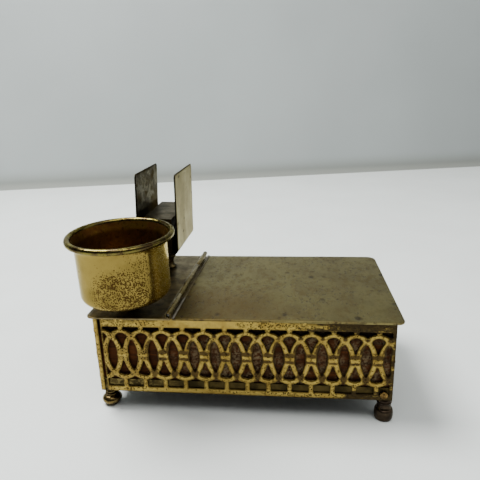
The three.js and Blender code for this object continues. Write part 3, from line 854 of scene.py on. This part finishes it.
def hinge():
    """Two leaves with three knuckles, and the wire in them. The lid has the middle knuckle."""
    axis = turned_at((HINGE.x, 0, HINGE.rise), HINGE.skew, "Z")
    outer, wall = HINGE.barrel, HINGE.wall
    front, back, reach = HINGE.front, HINGE.back, HINGE.knuckle
    joints = [front + reach, back - reach]
    gap = 0.35  # between two knuckles
    seam, rim = outer + 0.15, HINGE.leaf
    edge = 0.08

    def tube(y0, y1, side):
        start, end = 262, 262 - side * 340
        ring = arc(0, 0, outer, start, end, 40) + arc(0, 0, outer - wall, end, start, 40)
        return extruded(ring, y0, y1, edge)

    def leaf(y0, y1, x0, x1):
        foot, top = -HINGE.rise + 0.06, -HINGE.rise + 0.3
        return extruded([(x0, foot), (x1, foot), (x1, top), (x0, top)], y0, y1, edge)

    fixed = joined(tube(front, joints[0], -1), tube(joints[1], back, -1))
    moving = tube(joints[0] + gap, joints[1] - gap, 1)
    fixed_leaf = joined(leaf(front, back, -rim, -seam), leaf(front, joints[0], -seam, 0),
                        leaf(joints[1], back, -seam, 0))
    lid_leaf = joined(leaf(front, back, seam, rim), leaf(joints[0] + gap, joints[1] - gap, 0, seam))
    piece("fixed_barrels", "hinge_leaf_fixed", fixed, HINGE_BRASS, turn=axis)
    piece("fixed_leaf", "hinge_leaf_fixed", fixed_leaf, FIXED, turn=axis)
    piece("lid_barrel", "hinge_leaf_lid", moving, HINGE_BRASS, turn=axis, body="lid")
    piece("lid_leaf", "hinge_leaf_lid", lid_leaf, LEAF_BRASS, turn=axis, body="lid")
    low, neck, high = front + 0.5, back + 0.06, back + 1.0
    radius, head = HINGE.wire, HINGE.wire_head
    wire = [(0, low), (radius - 0.15, low), (radius, low + 0.15), (radius, neck), (head, neck)]
    pin = lathe(wire + arc(head - 0.6, high - 0.6, 0.6, 0, 90, 6) + [(0, high)], 32)
    lying = axis @ Matrix.Rotation(radians(-90), 4, "X")
    piece("hinge_wire", "hinge_pin", pin, WIRE, lying)


HINGE_BRASS = dark_brass("hinge brass", (134, 118, 76), (108, 95, 60), 0.26)


def leaf_brass():
    """Bright and grey beside the fixed knuckles, a painted reflection, and brown beside the lid's own."""
    f = Finish("leaf brass")
    cloud = f.ramp(f.noise(3, 4, 0.6), 0.35, 0.65)
    first, last = HINGE.front + HINGE.knuckle, HINGE.back - HINGE.knuckle
    ends = f.most(f.along(1, first + 1, first - 1), f.along(1, last + 8, last + 14))
    # Painted reflection: light grey towards both ends of the leaf.
    colour = f.blend(ends, f.blend(cloud, rgb(112, 100, 70), rgb(84, 68, 42)),
                     f.blend(cloud, rgb(146, 141, 128), rgb(120, 114, 100)))
    return f.finish(colour, f.ramp(ends, 0, 1, 0.4, 0.62), [(f.noise(0.8, 3), 0.04)])


LEAF_BRASS = leaf_brass()
hinge()


# ---- cup ----
CUP_TURN = turned_at((CUP.x, CUP.y, 0), CUP.tilt, "X")


def cup():
    """Sheet with straight sides that flare into a rolled rim."""
    wall, thick, corner, height = CUP.wall, CUP.sheet, CUP.corner, CUP.height
    rim, bead, hole = CUP.rim, CUP.bead, SCREW.hole
    flare = rim - bead - wall + thick
    neck = 4.2  # from the rim down to where the flare starts
    throat = neck - bead
    outside = [(hole, 0), (6, 0), (wall - corner - 2, 0)] + arc(wall - corner, corner, corner, -90, 0, 10)
    outside += [(wall, corner + 3), (wall, 12), (wall, 18), (wall, height - neck)]
    outside += [(wall + flare * t * t * 0.6, height - neck + throat * t) for t in (0.25, 0.5, 0.75, 1)]
    rolled = arc(rim, height, bead, -140, 180, 26)
    inner = wall - thick
    lined = [(inner + 0.15, height - 2.6), (inner, height - 4), (inner, 16), (inner, 9)]
    lined += arc(wall - corner, corner, corner - thick, 0, -90, 8) + [(8, thick), (hole, thick)]
    sides = 160

    def wobble(angle, r, z):
        if r < 5:
            return r
        where = Vector((cos(angle) * 1.3, sin(angle) * 1.3, z / 16))
        return r + 0.1 * noise.noise(where * 1.6)

    verts, faces = lathe(outside + rolled + lined, sides, wobble)
    verts = [(x, y, z + CUP.lift) for x, y, z in verts]
    obj = piece("brass_cup", "cup", (verts, faces), [CUP_OUT, CUP_RIM, CUP_IN], CUP_TURN)
    first_rim, first_inner = len(outside) - 1, len(outside) + len(rolled) - 1
    for i, polygon in enumerate(obj.data.polygons):
        row = i // sides
        polygon.material_index = 0 if row < first_rim else 1 if row < first_inner else 2


cup()


# ---- holder ----
HOLDER_TURN = turned_at((HOLDER.x, HOLDER.y, 0), HOLDER.lean, "Y")


def holder_path():
    """The middle of the folded sheet in x and z, from the top of its left side to the top of its right."""
    half, thick = HOLDER.width / 2, HOLDER.sheet
    bend, height = HOLDER.bend, HOLDER.top - HOLDER.bottom
    middle = bend - thick / 2
    left, right = bend - half - HOLDER.spread, half - bend
    return ([(thick / 2 - half, height)] + arc(left, bend, middle, 180, 270, 12)
            + arc(right, bend, middle, -90, 0, 12) + [(half - thick / 2, height)])


def along_path(path):
    """A function from a length along the path to the place there and the direction to its right."""
    lengths = [0.0]
    for a, b in zip(path, path[1:]):
        lengths.append(lengths[-1] + dist(a, b))

    def at(s):
        i = min(max(1, int(np.searchsorted(lengths, s))), len(path) - 1)
        a, b = Vector(path[i - 1]), Vector(path[i])
        way = (b - a).normalized()
        return a + way * (s - lengths[i - 1]), Vector((way.y, -way.x))
    return at, lengths[-1]


def channel():
    """One sheet folded into a U, pale outside, and nearly black inside with dark patina and painted shade."""
    at, length = along_path(holder_path())
    depth, corner, thick = HOLDER.depth, HOLDER.corner, HOLDER.sheet
    half = depth / 2
    near, far = corner, length - corner
    low, high = corner - half, half - corner
    outline = (arc(near, low, corner, 180, 270, 8) + arc(far, low, corner, 270, 360, 8)
               + arc(far, high, corner, 0, 90, 8) + arc(near, high, corner, 90, 180, 8))
    hole = circle(length / 2 + HOLDER.spread / 2, 0, SCREW.hole)
    points, faces, gaps = sheet(outline, [hole], thick, step=0.9, edge=0.2, relief=unevenness(0.08, 14, 9.1))
    placed = []
    for u, v, w in points:
        spot, right = at(u)
        x, z = spot + right * (w - thick / 2)
        placed.append((x, v, z + HOLDER.bottom))
    obj = piece("folded_holder", "holder_channel", (placed, faces), [PALE, INNER_PATINA_AND_SHADE],
                HOLDER_TURN)
    store(obj, "edge", [bump_at(gap, 0, 0.35) for gap in gaps])
    outer = sum(len(f) == 3 for f in faces) // 2
    for polygon in obj.data.polygons[outer:]:
        polygon.material_index = 1


channel()


def holder_pillar():
    hole, low, high = SCREW.hole, LEAN_GAP, HOLDER.bottom - 0.1
    profile = [(hole, low), (3.4, low)] + arc(3.4, low + 0.4, 0.4, -90, 0, 4)
    profile += [(3.8, low + 1.0), (3.0, low + 1.5), (2.5, low + 2.4), (2.4, 4), (2.6, 5.2)]
    profile += arc(2.9, 6.7, 0.75, -70, 70, 8) + [(2.6, 8.2), (2.5, 9.2), (3.1, 9.9), (3.8, 10.3)]
    profile += arc(3.4, high - 0.4, 0.4, 0, 90, 4) + [(hole, high)]
    piece("turned_pillar", "holder_pillar", lathe(profile, 64), PILLAR_BRASS, turn=HOLDER_TURN)


PILLAR_BRASS = dark_brass("pillar brass", (104, 92, 58), (62, 54, 36), 0.3)
holder_pillar()


def cup_spacer():
    hole, low, high = SCREW.hole, LEAN_GAP, CUP.lift - 0.1
    profile = [(hole, low), (5.1, low)] + arc(5.1, low + 0.4, 0.4, -90, 0, 4)
    profile += [(4.5, low + 1.4), (4.4, 2.3), (4.7, 3.0)]
    profile += arc(5.1, high - 0.4, 0.4, 0, 90, 4) + [(hole, high)]
    piece("turned_spacer", "cup_spacer", lathe(profile, 64), DARK, turn=CUP_TURN)


cup_spacer()


def slotted_screw(name, node, seat, turn):
    """A round-headed screw with a slot across its head."""
    bottom = -PLATE.thickness - LEAN_GAP - SCREW.tail
    head, tall, shank, side = SCREW.head, SCREW.tall, SCREW.shank, 0.25
    angles = [radians(a) for a in range(0, 90, 10)]
    profile = [(0, bottom), (shank - 0.3, bottom), (shank, bottom + 0.4), (shank, seat), (head - 0.1, seat)]
    profile += [(head * cos(a), seat + side + (tall - side) * sin(a)) for a in angles]
    profile += [(0, seat + tall)]
    obj = piece(name, node, lathe(profile, 48), DARK, turn=turn)
    cutter = bmesh.new()
    slot = turned_at((0, 0, seat + tall), 28, "Z") @ Matrix.Diagonal((8, SCREW.slot, 1.4, 1))
    bmesh.ops.create_cube(cutter, size=1.0, matrix=TO_ROW @ turn @ slot)
    tool_mesh = bpy.data.meshes.new(name + "_slot")
    cutter.to_mesh(tool_mesh)
    cutter.free()
    tool = linked(name + "_slot", tool_mesh)
    apply(obj, "BOOLEAN", operation="DIFFERENCE", object=tool, solver="EXACT")
    bpy.data.objects.remove(tool)
    obj.data.set_sharp_from_angle(angle=radians(35))


def apply(obj, kind, **settings):
    """Adds a modifier and makes its result the mesh."""
    modifier = obj.modifiers.new(kind, kind)
    for key, value in settings.items():
        setattr(modifier, key, value)
    bpy.context.view_layer.update()
    graph = bpy.context.evaluated_depsgraph_get()
    mesh = bpy.data.meshes.new_from_object(obj.evaluated_get(graph))
    obj.modifiers.clear()
    obj.data = mesh


slotted_screw("cup_fixing", "cup_screw", CUP.lift + CUP.sheet + 0.1, CUP_TURN)
slotted_screw("holder_fixing", "holder_screw", HOLDER.bottom + HOLDER.sheet + 0.1, HOLDER_TURN)


# ---- feet and rivets ----
def round_foot(neck_top):
    """A flattened bun with a narrow collar on it, on a thin neck."""
    angles = [radians(a) for a in range(-50, 59, 9)]
    bun = [(4.4 * cos(a), 2.65 + 2.6 * sin(a)) for a in angles]
    profile = [(0, 0), (2.6, 0), (2.8, 0.3)] + bun + [(2.2, 4.95), (2.5, 5.15)]
    profile += arc(2.6, 5.5, 0.3, -60, 60, 5) + [(2.0, 5.95), (2.1, 6.3)] + arc(2.3, 6.9, 0.5, -70, 70, 6)
    return profile + [(2.1, 7.5), (2.1, 8.0), (2.9, 8.5), (3.1, neck_top - 0.2), (3.0, neck_top)]


def tall_foot(neck_top):
    """A full barrel under a plain neck with one low ring."""
    angles = [radians(a) for a in range(-80, 81, 10)]
    barrel = [(3.1 + 0.85 * cos(a) ** 0.6, 2.6 + 2.5 * sin(a)) for a in angles]
    profile = [(0, 0), (3.2, 0)] + barrel + [(2.95, 5.3), (2.95, 7.9), (3.05, 8.1)]
    return profile + arc(3.05, 8.5, 0.25, -70, 70, 5) + [(3.05, 8.9), (2.95, 9.3), (2.95, neck_top)]


def foot(node, shape, material):
    low, high = plate_box(node)
    tall = high.z - low.z
    neck_top = plate_box("bottom_tray")[0].z - low.z - 0.1
    profile = shape(neck_top) + [(1.1, neck_top), (1.1, tall - 1.5), (0, tall)]
    turn = Matrix.Translation(((low.x + high.x) / 2, (low.y + high.y) / 2, low.z))
    piece(node + "_turned", node, lathe(profile, 72), material, turn=turn)


FOOT_BRASS = dark_brass("foot brass", (122, 104, 62), (56, 46, 30), 0.26)
DULL_FOOT_BRASS = dark_brass("dull foot brass", (74, 62, 48), (46, 37, 30), 0.3)
for side, shape, material in (("left", round_foot, FOOT_BRASS), ("right", tall_foot, DULL_FOOT_BRASS)):
    foot("foot_front_" + side, shape, material)
    foot("foot_back_" + side, shape, material)

RIVET_BRASS = dark_brass("rivet brass", (146, 116, 62), (78, 60, 34), 0.3)


def rivet(node, out):
    low, high = plate_box(node)
    face = low.y if out > 0 else high.y
    radius = (high.x - low.x) / 2
    dome = ((0.6, 0.4), (0.5, 0.38), (0.38, 0.55), (0.2, 0.66), (0, 0.68))
    profile = [(0, 0), (radius, 0), (radius, 0.2)] + arc(radius - 0.3, 0.3, 0.3, 0, 120, 6)
    profile += [(radius * share, z) for share, z in dome]
    turn = turned_at(((low.x + high.x) / 2, face, (low.z + high.z) / 2), -90 * out, "X")
    piece(node + "_domed", node, lathe(profile, 40), RIVET_BRASS, turn)


rivet("rivet_front_right", -1)
rivet("rivet_back_right", 1)


# ---- CAD pieces that stay ----
def keep(nodes, material, bevel):
    for name in nodes:
        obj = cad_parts[name]
        obj.data.materials.clear()
        obj.data.materials.append(material)
        edge = obj.modifiers.new("worn edges", "BEVEL")
        edge.width = bevel * MM
        edge.segments = 3
        edge.limit_method = "ANGLE"


LINING = ["liner_floor", "liner_front", "liner_back", "liner_left", "liner_right", "liner_partition"]
keep(LINING, CEDAR, 0.25)
keep(["bottom_tray"], tray_brass(), 0.12)
keep(["match_seat"], dark_brass("seat brass", (68, 59, 38), (46, 39, 26), 0.48), 0.3)
keep(["cup_nut", "holder_nut"], DARK, 0.2)


# ---- floor, wall, light and camera ----
def stage_mesh(name, verts, faces, material):
    mesh = bpy.data.meshes.new(name)
    mesh.from_pydata(verts, [], faces)
    mesh.materials.append(material)
    mesh.shade_smooth()
    linked(name, mesh)


def studio():
    """A table and the wall behind it, in metres. The wall goes back to the right, by its slope."""
    half, front, foot, slope, tall, cove = 3.0, -3.0, 0.582, 0.225, 2.5, 0.01
    table = [(front, 0), (foot - cove, 0)]
    curve = [(foot - cove + cove * sin(a), cove - cove * cos(a)) for a in spread(0, pi / 2, 9)]
    wall = curve + [(foot, tall)]
    for name, line, material in (("table", table, table_top()), ("wall", wall, wall_paint())):
        verts = [(x, y + (slope * x if y > 0 else 0), z) for x in (-half, half) for y, z in line]
        n = len(line)
        stage_mesh(name, verts, [(i, n + i, n + i + 1, i + 1) for i in range(n - 1)], material)


def room():
    """The light of the room: dim in front and around the horizon, bright overhead and behind."""
    world = bpy.data.worlds.new("room")
    bpy.context.scene.world = world
    world.use_nodes = True
    tree = world.node_tree
    background = tree.nodes["Background"]
    direction = tree.nodes.new("ShaderNodeTexCoord")
    upward = tree.nodes.new("ShaderNodeVectorMath")
    upward.operation = "DOT_PRODUCT"
    upward.inputs[1].default_value = (0.3, 0.4, 0.8)
    ramp = tree.nodes.new("ShaderNodeValToRGB")
    tree.links.new(direction.outputs["Generated"], upward.inputs[0])
    tree.links.new(upward.outputs["Value"], ramp.inputs["Fac"])
    low, high = ramp.color_ramp.elements
    low.position, low.color = 0.25, (0.07, 0.07, 0.075, 1)
    high.position, high.color = 0.8, (1.0, 1.0, 1.0, 1)
    tree.links.new(ramp.outputs["Color"], background.inputs["Color"])
    background.inputs["Strength"].default_value = 1.0


LAMP_AIM = (0, 0, 0.03)
CAMERA = Sizes(spot=(20.78, -210.34, 87.55), aim=(-3.3, 0, 21.56), roll=-1.83, lens=35.64, sensor=36)


def aimed(name, data, spot, aim, roll=0):
    """An object at a spot, looking at another, rolled about the line between them."""
    obj = linked(name, data)
    level = (Vector(aim) - Vector(spot)).to_track_quat("-Z", "Y").to_matrix()
    obj.rotation_mode = "QUATERNION"
    obj.rotation_quaternion = (level @ Matrix.Rotation(radians(roll), 3, "Z")).to_quaternion()
    obj.location = spot
    return obj


def lamp(name, location, size, power):
    light = bpy.data.lights.new(name, "AREA")
    light.shape = "RECTANGLE"
    light.size, light.size_y = size
    light.energy = power
    aimed(name, light, location, LAMP_AIM)


def camera():
    """The camera stands in front of the box and a little to its right, looking down, slightly rolled."""
    data = bpy.data.cameras.new("camera")
    data.sensor_width = CAMERA.sensor
    data.lens = CAMERA.lens
    data.clip_start = 0.01
    spot, aim = place(*CAMERA.spot), place(*CAMERA.aim)
    bpy.context.scene.camera = aimed("camera", data, spot, aim, CAMERA.roll)


studio()
room()
lamp("key", (-0.41, 0.1, 0.87), (0.44, 0.44), 16)
lamp("front", (0.15, -0.38, 1.15), (0.7, 0.5), 5)
camera()
